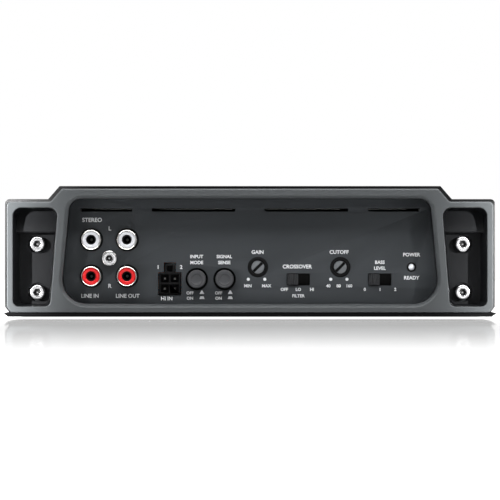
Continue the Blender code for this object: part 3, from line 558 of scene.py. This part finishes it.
def socket_screw(name, node, facing, head_r, head, key, shank_r, deep=2.2):
    """A cap screw: shank, knurled side, rounded top, and a key hole lined with painted shade."""
    low, high = box_mm(node)
    at = (low + high) / 2
    at[1] = low[1] if facing == "front" else high[1]
    length = high[1] - low[1]
    profile = [(0, -length), (shank_r - 0.3, -length), (shank_r, -length + 0.4), (shank_r, -head),
               (knurled(head_r - 0.15, 0.06), -head), (knurled(head_r, 0.06), -head + 0.25),
               (knurled(head_r, 0.06), -0.75), (head_r - 0.02, -0.6), (head_r - 0.1, -0.3),
               (head_r - 0.26, -0.12), (head_r - 0.5, -0.03), (head_r - 0.75, 0), (key + 0.45, 0),
               (key + 0.28, -0.02), (hexagon(key), -0.1), (hexagon(key), -deep), (0, -deep)]
    piece(name, mesh_from(name, [turned(profile, at, facing)]), ZINC, stands_for=(node,), sharp=30)
    # The key hole's lining is painted shade: a dark sheet over the socket's walls and bottom, where shade
    # falls.
    scale = key - 0.03
    key_hole_shade = [(0, -deep + 0.02), (hexagon(scale), -deep + 0.02), (hexagon(scale), -0.12),
              (hexagon(scale - 0.05), -0.16), (hexagon(scale - 0.07), -deep + 0.75),
              (0.45, -deep + 0.3), (0, -deep + 0.3)]
    piece(name + "_socket", mesh_from(name, [turned(key_hole_shade, at, facing)]), KEY_HOLE_PAINTED_SHADE, sharp=30)
    burr = [(0, -deep + 0.2), (0.45, -deep + 0.2), (0.45, -deep + 0.36), (0.3, -deep + 0.42),
            (0, -deep + 0.44)]
    piece(name + "_burr", mesh_from(name, [turned(burr, at, facing, 16)]), ZINC)


for end in ("front", "rear"):
    for side in ("left", "right"):
        for level in ("upper", "lower"):
            node = f"{end}_frame_screw_{side}_{level}"
            socket_screw(node + "_turned", node, end, 3.17, 5.2, 1.42, 1.9)
socket_screw("rca_block_screw_turned", "rca_block_screw", "front", 3.27, 2.2, 1.25, 1.3, deep=1.9)

# %% [markdown]
# ## The jacks
#
# A phono jack is a rolled nickel shell round a coloured insulator, with a spring contact in its bore.
# The rolled lip is what catches the light, so its profile has five points where a plain tube has two.
# Each tube is a closed profile: its last point is its first, so it welds into a ring.

# %% Shells, insulators and contacts
for level, colour in (("upper", WHITE), ("lower", RED)):
    for side in ("left", "right"):
        shell, core = f"rca_shell_{level}_{side}", f"rca_insulator_{level}_{side}"
        at, out = rear_middle(shell)
        wall = [(3.66, 0), (4.25, 0), (4.25, out - 3.2), (4.08, out - 2.95), (4.08, out - 2.5),
                (4.25, out - 2.25), (4.25, out - 0.5), (4.21, out - 0.25), (4.1, out - 0.07),
                (3.96, out), (3.82, out - 0.06), (3.71, out - 0.22), (3.66, out - 0.5), (3.66, 0)]
        piece(f"jack_shell_{level}_{side}", mesh_from(shell, [turned(wall, at, "front")]), NICKEL,
              stands_for=(shell,))
        at, out = rear_middle(core)
        plug = [(2.05, 0), (3.63, 0), (3.63, out - 0.5), (3.52, out - 0.18), (3.3, out - 0.02),
                (3.1, out), (2.6, out), (2.3, out - 0.12), (2.12, out - 0.35), (2.05, out - 0.7),
                (2.05, 0)]
        piece(f"jack_core_{level}_{side}", mesh_from(core, [turned(plug, at, "front")]), colour,
              stands_for=(core,))
        # A black tube inside the insulator's bore is painted shade: the dark of the hole round the contact.
        bore = [(0, 0.2), (2.03, 0.2), (2.03, out - 0.75), (1.7, out - 0.8), (1.55, out - 1.2),
                (1.5, 2.0), (0, 1.4)]
        piece(f"jack_bore_shade_{level}_{side}", mesh_from("bore", [turned(bore, at, "front", 32)]), BLACK)
        tip = [(0, 1.45), (0.5, 1.45), (0.62, 2.2), (0.5, 3.4), (0.34, 3.6), (0, 3.62)]
        piece(f"jack_contact_{level}_{side}", mesh_from("contact", [turned(tip, at, "front", 20)]),
              TARNISHED)

# %% [markdown]
# ## Buttons, sliders, lens and contacts
#
# Each button has a raised rim round a shallow dish that a fingertip finds. The sliders are ribbed
# across their travel: a cosine pressed into the front edge of a rectangle, carried straight upwards.
# The lens looks out of a black bushing, and a black sheet at the bottom of each rotor's slot is the slot's
# painted shadow, dark whichever way the rotor is turned. A square pin is a turned piece with four sides.

# %% Buttons
for side in ("left", "right"):
    node = "button_cap_" + side
    at, out = rear_middle(node)
    profile = [(0, 0), (3.6, 0), (3.85, 0.3), (3.85, out - 0.5), (3.8, out - 0.24), (3.66, out - 0.07),
               (3.46, out), (3.2, out - 0.02), (3.02, out - 0.12), (2.62, out - 0.16), (2.5, out - 0.1),
               (2.36, out - 0.12), (2.2, out - 0.3), (1.9, out - 0.44), (1.3, out - 0.52),
               (0.6, out - 0.56), (0, out - 0.57)]
    piece("button_" + side, mesh_from(node, [turned(profile, at, "front", 56)]), GREY,
          side + "_button", (node,))
print("button profile", len(profile), "points")

# %% Sliders
RIBS, RIB_DEEP, PLAIN = 4, 0.35, 0.05  # waves across a slider, depth in mm, share left flat each side


def ribbed_slider(node, body):
    """The front edge is pressed in by RIB_DEEP x (1 - cos) / 2, RIBS times across the width."""
    low, high = box_mm(node)
    across = np.linspace(0, 1, 49)
    inside = np.minimum(across, 1 - across) > PLAIN
    wave = 2 * math.pi * RIBS * (across - PLAIN) / (1 - 2 * PLAIN)
    press = np.where(inside, RIB_DEEP / 2 * (1 - np.cos(wave)), 0.0)
    front = np.stack([low[0] + across * (high[0] - low[0]), low[1] + press], 1)
    loop = np.concatenate([front, [[high[0], high[1]], [low[0], high[1]]]])
    centre = loop.mean(0)
    rings = []
    for z, small in ((low[2], 0.2), (low[2] + 0.2, 0), (high[2] - 0.2, 0), (high[2], 0.2)):
        shrunk = centre + (loop - centre) * (1 - small / 2.2)
        rings.append(np.column_stack([shrunk, np.full(len(shrunk), z)]))
    patches = [skin(rings), fill(rings[0]), fill(rings[-1])]
    return piece(node + "_ribbed", mesh_from(node, patches), SLIDER, body, (node,), sharp=50)


for use in ("filter", "bass"):
    made = ribbed_slider("slider_" + use, use + "_slider")
    print(made.name, len(made.data.polygons), "faces")

# %% Lens and bushing
at, out = rear_middle("power_led")
dome = np.linspace(0, math.pi / 2, 9)
lens_profile = [(0, 0), (1.85, 0), (1.85, 1.0), (1.3, 1.0)]
lens_profile += [(1.3 * math.cos(a), out - 1.2 + 1.2 * math.sin(a)) for a in dome]
piece("led_dome", mesh_from("led", [turned(lens_profile, at, "front", 40)]), LENS,
      stands_for=("power_led",))
bushing = [(1.36, out - 4.4), (2.05, out - 4.4), (2.05, out - 1.1), (1.95, out - 0.95),
           (1.46, out - 0.95), (1.36, out - 1.1), (1.36, out - 4.4)]
piece("led_bushing", mesh_from("bushing", [turned(bushing, at, "front", 40)]), BLACK)
print("lens profile", len(lens_profile), "points")

# %% Rotor slots and socket pins
for use in ("level", "filter"):
    low, high = box_mm("trim_rotor_" + use)
    x, _, z = (low + high) / 2
    slot = rounded([(2.5, -0.56, 0.3), (2.5, 0.56, 0.3), (-2.5, 0.56, 0.3), (-2.5, -0.56, 0.3)], 3)
    slot = np.stack([x + (slot[:, 0] - slot[:, 1]) * math.sqrt(0.5),  # turned by 45 degrees
                     z + (slot[:, 0] + slot[:, 1]) * math.sqrt(0.5)], 1)
    # A black sheet a little inside each slot: painted shadow.
    rings = [at_y(slot, low[1] + d) for d in (1.08, 0.85)]
    piece("slot_shadow_" + use, mesh_from("slot", [skin(rings), fill(rings[0]), fill(rings[1])]),
          BLACK, use + "_trim")

low, high = box_mm("speaker_input_socket")
cell_x, cell_z = (low[0] + high[0]) / 2, low[2] + 4.45  # middle of the square part, below the latch
cell_pitch, cell_floor = 4.2, high[1] - 2.5
pins = []
for i in (-0.5, 0.5):
    for j in (-0.5, 0.5):
        foot = (cell_x + i * cell_pitch, cell_floor, cell_z + j * cell_pitch)
        length = cell_floor - low[1] - 1.6
        pins.append(turned([(0, 0), (0.62, 0), (0.62, length - 0.5), (0.3, length), (0, length)],
                           foot, "front", 4, math.pi / 4))
piece("socket_pins", mesh_from("socket_pins", pins), TARNISHED)
print("socket pins", len(pins))

# %% [markdown]
# ## The print on the control panel
#
# Words and marks are screen printed: flat, a hundredth of a millimetre thick, slightly soft at the
# edge. Each word is a text curve turned into a mesh. All of them are joined in one piece, lifted just
# clear of the paint.

# %% Words, dots and arrows
CAPITAL = 0.73  # height of a capital as a share of the typeface's size
BOLDER = 0.055  # mm added all round each stroke


def lettering(words, x, z, height):
    """Points and triangles of a word in mm, laid on the (x, z) plane with its middle at x."""
    curve = bpy.data.curves.new("word", "FONT")
    curve.body = words
    curve.size = height / CAPITAL
    curve.resolution_u = 3
    curve.align_x = "CENTER"
    curve.offset = BOLDER
    held = bpy.data.objects.new("word", curve)
    flat = bpy.data.meshes.new_from_object(held)
    bpy.data.objects.remove(held)
    points = np.zeros(len(flat.vertices) * 3)
    flat.vertices.foreach_get("co", points)
    points = points.reshape(-1, 3)
    faces = [list(face.vertices) for face in flat.polygons]
    bpy.data.meshes.remove(flat)
    bpy.data.curves.remove(curve)
    return np.stack([x + points[:, 0], z - height / 2 + points[:, 1]], 1), faces


def shape(points):
    """A flat (x, z) polygon, ready to print."""
    loop = np.asarray(points, float)
    return loop, [list(range(len(loop)))]


def dot(x, z, radius, around=20):
    turn = np.arange(around) * 2 * math.pi / around
    return shape(np.stack([x + radius * np.cos(turn), z + radius * np.sin(turn)], 1))


def printed(name, marks, y, look):
    """Lays flat marks at one y: the panel looks along -Y, so x and z stay as they are."""
    mesh = sheet_of(name, [(at_y(outline, y), faces) for outline, faces in marks])
    return piece(name, mesh, look)


marks = [lettering(*word) for word in (
    ("STEREO", -66.3, 40.6, 1.75), ("L", -58.9, 37.0, 1.7), ("R", -58.9, 12.9, 1.7),
    ("LINE IN", -67.2, 8.7, 1.65), ("LINE OUT", -51.4, 8.7, 1.65),
    ("1", -38.6, 20.8, 1.6), ("2", -28.9, 20.8, 1.6), ("HI", -36.4, 7.6, 1.6), ("IN", -33.6, 7.6, 1.6),
    ("INPUT", -22.4, 25.2, 1.4), ("MODE", -22.4, 22.7, 1.4),
    ("SIGNAL", -10.8, 25.2, 1.4), ("SENSE", -10.8, 22.7, 1.4),
    ("OFF", -25.2, 9.9, 1.25), ("ON", -25.2, 7.7, 1.25), ("OFF", -13.2, 9.9, 1.25),
    ("ON", -13.2, 7.7, 1.25),
    ("GAIN", 3.2, 27.1, 1.55), ("MIN", -0.9, 12.9, 1.3), ("MAX", 6.9, 12.9, 1.3),
    ("CROSSOVER", 19.8, 21.0, 1.6), ("OFF", 14.4, 11.4, 1.3), ("LO", 20.3, 11.4, 1.3),
    ("HI", 26.0, 11.4, 1.3), ("FILTER", 20.3, 8.7, 1.3),
    ("CUTOFF", 37.4, 27.1, 1.55), ("40", 32.9, 12.9, 1.3), ("80", 37.2, 12.9, 1.3),
    ("160", 41.6, 12.9, 1.3),
    ("BASS", 54.5, 22.8, 1.4), ("LEVEL", 54.5, 20.3, 1.4),
    ("0", 48.2, 11.4, 1.3), ("1", 54.6, 11.4, 1.3), ("2", 61.0, 11.4, 1.3),
    ("POWER", 67.8, 26.0, 1.5), ("READY", 67.8, 16.3, 1.5))]
marks += [dot(x, 15.6, 0.65) for x in (-0.7, 6.2, 33.9, 40.7)]
for x in (-20.2, -8.3):
    marks.append(shape([(x - 1.0, 9.45), (x + 1.0, 9.45), (x + 0.2, 10.9), (x - 0.2, 10.9)]))
    marks.append(shape([(x - 1.1, 7.3), (x + 1.1, 7.3), (x + 0.65, 8.45), (x - 0.65, 8.45)]))
printed("control_panel_print", marks, -PANEL_FACE - 0.02, INK)
print("printed marks", len(marks))

# %% [markdown]
# ## The terminal end
#
# Thick wires are held under clamp screws, each on a flat plate in its own cell. The blade fuses are
# coloured plastic, each with a bright test point near its top and another near its foot.

# %% Terminals and fuses
def terminal_screw(node, head_r, cell):
    """A pan head with a cross recess over a square plate with rounded corners."""
    at, length = rear_middle(node)
    profile = [(0, -length), (1.6, -length), (1.9, -length + 0.4), (1.9, -2.4), (head_r - 0.1, -2.4),
               (head_r, -2.3), (head_r, -1.3), (head_r - 0.12, -0.8), (head_r - 0.5, -0.35),
               (head_r - 1.1, -0.08), (cross(2.3, 0.85) + 0.1, 0), (cross(2.3, 0.85), -0.1),
               (cross(1.7, 0.6), -1.2), (cross(1.0, 0.4), -1.7), (0, -1.8)]
    piece(node + "_turned", mesh_from(node, [turned(profile, at, "rear")]), ZINC, stands_for=(node,))
    seat, thick, half = at[1] - 2.4, 0.28, cell / 2 - 0.5
    loop = rounded([(at[0] - half, at[2] - 6.6, 0.8), (at[0] + half, at[2] - 6.6, 0.8),
                    (at[0] + half, at[2] + 5.6, 0.8), (at[0] - half, at[2] + 5.6, 0.8)], 4)
    rings = [at_y(loop, y) for y in (seat - thick, seat - 0.02)]
    plate = [skin(rings), fill(rings[0]), fill(rings[1])]
    piece(node.replace("screw", "plate"), mesh_from("plate", plate), NICKEL)


for i in range(3):
    terminal_screw(f"power_terminal_screw_{i + 1}", 4.4, 12.0)
for i in range(4):
    terminal_screw(f"speaker_terminal_screw_{i + 1}", 3.4, 9.6)

for side in ("left", "right"):
    at, _ = rear_middle("fuse_" + side)
    points = [turned([(0, -0.3), (0.7, -0.3), (0.7, -0.02), (0.55, 0), (0, 0)], at + (0, 0, off), "rear", 20)
              for off in (-6.6, 6.6)]
    piece(f"fuse_{side}_test_points", mesh_from("points", points), NICKEL, side + "_fuse")
print("terminal end done")

# %% [markdown]
# ## Inside the case
#
# Nobody sees these until the case is opened, but each has its own character: enamelled wire lies in
# ridges round the ring cores, and a capacitor is crimped near its foot and has a scored top.

# %% Wound rings
def wound_ring(node, inner, turns, ridge, round_off):
    """A rounded rectangle carried round an axis; each wire swells it by ridge x |cos|."""
    low, high = box_mm(node)
    outer, tall = (high[0] - low[0]) / 2 - ridge, high[2] - low[2] - 2 * ridge
    section = rounded([(inner, 0, round_off), (outer, 0, round_off), (outer, tall, round_off),
                       (inner, tall, round_off)], 5)
    around = turns * 6
    turn = np.arange(around) * 2 * math.pi / around
    swell = ridge * np.abs(np.cos(turn * turns / 2))
    centre = section.mean(0)
    away = section - centre
    away /= np.linalg.norm(away, axis=1)[:, None]
    profile = [(p[0] + swell * a[0], p[1] + swell * a[1]) for p, a in
               zip(np.vstack([section, section[:1]]), np.vstack([away, away[:1]]))]
    at = ((low[0] + high[0]) / 2, (low[1] + high[1]) / 2, low[2] + ridge)
    return piece(node + "_winding", mesh_from(node, [turned(profile, at, "up", around)]), COPPER,
                 stands_for=(node,))


wound_ring("power_transformer", 9.4, 60, 0.4, 6.0)
wound_ring("filter_choke", 5.3, 26, 0.3, 3.0)
softened("transformer_clamp", PLATE_BLACK, 0.5, 2)
for place in ("front", "rear"):
    node = "capacitor_" + place
    low, high = box_mm(node)
    radius, tall = (high[0] - low[0]) / 2, high[2] - low[2]
    at = ((low[0] + high[0]) / 2, (low[1] + high[1]) / 2, low[2])
    sleeve = [(radius - 2.2, 0.2), (radius - 1.0, 0), (radius - 0.2, 0.5), (radius, 1.2), (radius, 3.4),
              (radius - 0.9, 4.2), (radius - 0.9, 4.6), (radius, 5.4), (radius, tall - 1.0),
              (radius - 0.3, tall - 0.3), (radius - 1.1, tall), (radius - 1.5, tall - 0.3),
              (radius - 1.5, tall - 0.6), (radius - 2.2, 0.2)]
    piece(node + "_sleeve", mesh_from(node, [turned(sleeve, at, "up")]), SLEEVE, stands_for=(node,))
    can = [(0, 0.3), (radius - 2.3, 0.3), (radius - 1.7, tall - 1.4), (radius - 1.7, tall - 0.7),
           (cross(radius - 3.0, 0.8) + 0.35, tall - 0.7), (cross(radius - 3.2, 0.5), tall - 1.0),
           (0, tall - 1.0)]
    piece(node + "_can", mesh_from(node + "_can", [turned(can, at, "up")]), ZINC)

# %% [markdown]
# ## A white studio
#
# The camera looks straight along +Y with a very long lens, so that the case shows almost no depth.

# %% Camera
PICTURE_WIDTH = 208.8  # mm across the picture at the end frame's face
CAMERA_BACK, CAMERA_HEIGHT = 2500.0, 27.9
scene = bpy.context.scene
lens = bpy.data.cameras.new("straight_view")
lens.sensor_width = 36.0
lens.lens = lens.sensor_width * CAMERA_BACK / PICTURE_WIDTH
lens.clip_start, lens.clip_end = 0.05, 50.0
camera = bpy.data.objects.new("straight_view", lens)
camera.location = (0, -(FACE + CAMERA_BACK) * MM, CAMERA_HEIGHT * MM)
camera.rotation_euler = (math.pi / 2, 0, 0)
scene.collection.objects.link(camera)
scene.camera = camera
scene.view_settings.view_transform = "Standard"
print("camera lens", round(lens.lens, 1))

# %% [markdown]
# The room is white to the eye and dimmer in what the metal mirrors. A strip overhead and a soft light
# beside the camera leave the recess to shade itself, and two narrow spots brighten the ends of the
# case, the left one more.

# %% Room and lamps
def maths(tree, operation, *values):
    """The output of a Math node, each of whose inputs is a number or the socket that feeds it."""
    node = tree.nodes.new("ShaderNodeMath")
    node.operation = operation
    for socket, value in zip(node.inputs, values):
        if isinstance(value, float):
            socket.default_value = value
        else:
            tree.links.new(value, socket)
    return node.outputs["Value"]


def white_room(front, side, back, overhead):
    """Brightness by direction: dim behind the camera, brighter to the sides, above and beyond."""
    world = bpy.data.worlds.new("white_room")
    world.use_nodes = True
    tree = world.node_tree
    nodes, links = tree.nodes, tree.links
    place = nodes.new("ShaderNodeTexCoord")
    split = nodes.new("ShaderNodeSeparateXYZ")
    links.new(place.outputs["Generated"], split.inputs["Vector"])
    total = None
    for way, start, end, low, high in (("Y", -1.0, -0.3, front, side), ("Y", 0.2, 0.8, 0, back - side),
                                       ("Z", 0.15, 1.0, 0, overhead)):
        slope = nodes.new("ShaderNodeMapRange")
        slope.interpolation_type = "SMOOTHSTEP"
        for socket, value in (("From Min", start), ("From Max", end), ("To Min", low), ("To Max", high)):
            slope.inputs[socket].default_value = value
        links.new(split.outputs[way], slope.inputs["Value"])
        reached = slope.outputs["Result"]
        total = maths(tree, "ADD", total, reached) if total else reached
    seen = nodes.new("ShaderNodeLightPath")
    white = maths(tree, "MAXIMUM", total, seen.outputs["Is Camera Ray"])
    links.new(white, nodes["Background"].inputs["Strength"])
    nodes["Background"].inputs["Color"].default_value = (1, 1, 1, 1)
    scene.world = world


white_room(front=0.03, side=0.18, back=1.0, overhead=0.8)


def hung(name, lamp, where, aim):
    """Hangs a lamp at a place in mm, turned to face another place and not seen by the camera."""
    thing = bpy.data.objects.new(name, lamp)
    scene.collection.objects.link(thing)
    way = np.array(aim, float) - np.array(where, float)
    thing.location = [c * MM for c in where]
    thing.rotation_euler = (math.atan2(math.hypot(way[0], way[1]), -way[2]), 0,
                            math.atan2(way[1], way[0]) - math.pi / 2)
    thing.visible_camera = False
    return thing


def softbox(name, where, aim, size, power):
    """A rectangular area light, size mm wide and high."""
    lamp = bpy.data.lights.new(name, "AREA")
    lamp.shape = "RECTANGLE"
    lamp.size, lamp.size_y = size[0] * MM, size[1] * MM
    lamp.energy = power
    hung(name, lamp, where, aim)


def spot(name, where, aim, reach, power):
    """A spot that fades evenly from its middle to reach mm away from the place it aims at."""
    lamp = bpy.data.lights.new(name, "SPOT")
    lamp.spot_size = 2 * math.atan(reach / math.dist(where, aim))
    lamp.spot_blend = 1.0
    lamp.shadow_soft_size = 5 * MM
    lamp.energy = power
    hung(name, lamp, where, aim).scale = (1, 2.5, 1)  # tall, so that the fade runs sideways only


softbox("overhead_strip", (0, -230, 190), (0, -130, 40), (460, 60), 0.72)
softbox("camera_light", (120, -2400, 160), (0, -130, 27), (360, 300), 0.8)
spot("left_spot", (-778, -1079, 230), (-204, -130, 27), 107, 700)
spot("right_spot", (778, -1079, 230), (204, -130, 27), 107, 450)

# %% [markdown]
# The floor is a white sheet. In front of the case it mirrors like polished paint, and this fades
# towards the camera. Under the case and beyond it nothing is mirrored, and under the case the sheet
# glows more: painted light over the case's shadow, so that the gap below the case stays white.

# %% Floor
def pale_floor(drop=1.0, mirror=0.75, reach=830.0, size=3000.0):
    """A white sheet drop mm under the case, whose gloss fades over reach mm towards the camera."""
    mesh = bpy.data.meshes.new("studio_floor")
    corners = np.array([(-1, -1, 0), (1, -1, 0), (1, 1, 0), (-1, 1, 0)]) * size * MM
    mesh.from_pydata(corners, [], [(0, 1, 2, 3)])
    sheet = bpy.data.objects.new("studio_floor", mesh)
    sheet.location = (0, 0, -drop * MM)
    scene.collection.objects.link(sheet)
    look = bpy.data.materials.new("white_floor")
    look.use_nodes = True
    tree = look.node_tree
    nodes, links = tree.nodes, tree.links
    nodes.remove(nodes["Principled BSDF"])
    place = nodes.new("ShaderNodeTexCoord")
    split = nodes.new("ShaderNodeSeparateXYZ")
    links.new(place.outputs["Object"], split.inputs["Vector"])
    behind_face = maths(tree, "GREATER_THAN", split.outputs["Y"], -FACE * MM)
    between_sides = maths(tree, "COMPARE", split.outputs["X"], 0.0, HALF_WIDTH * MM)
    under_case_fill_light = maths(tree, "MULTIPLY", behind_face, between_sides)
    matte = nodes.new("ShaderNodeBsdfDiffuse")
    matte.inputs["Color"].default_value = (0.62, 0.62, 0.62, 1)
    glow = nodes.new("ShaderNodeEmission")
    # The extra glow under the case is painted light that cancels the case's shadow on the sheet.
    links.new(maths(tree, "MULTIPLY_ADD", under_case_fill_light, 0.5, 0.62), glow.inputs["Strength"])
    paper = nodes.new("ShaderNodeAddShader")
    links.new(matte.outputs["BSDF"], paper.inputs[0])
    links.new(glow.outputs["Emission"], paper.inputs[1])
    gloss = nodes.new("ShaderNodeBsdfGlossy")
    gloss.inputs["Roughness"].default_value = 0.035
    fade = nodes.new("ShaderNodeMapRange")
    fade.inputs["From Min"].default_value = -FACE * MM
    fade.inputs["From Max"].default_value = -(FACE + reach) * MM
    links.new(split.outputs["Y"], fade.inputs["Value"])
    faded = maths(tree, "POWER", fade.outputs["Result"], 1.5)
    share = maths(tree, "MULTIPLY_ADD", faded, -mirror, mirror)
    ahead_of_face = maths(tree, "SUBTRACT", 1.0, behind_face)
    both = nodes.new("ShaderNodeMixShader")
    links.new(maths(tree, "MULTIPLY", share, ahead_of_face), both.inputs["Fac"])
    links.new(paper.outputs["Shader"], both.inputs[1])
    links.new(gloss.outputs["BSDF"], both.inputs[2])
    links.new(both.outputs["Shader"], nodes["Material Output"].inputs["Surface"])
    mesh.materials.append(look)


pale_floor()
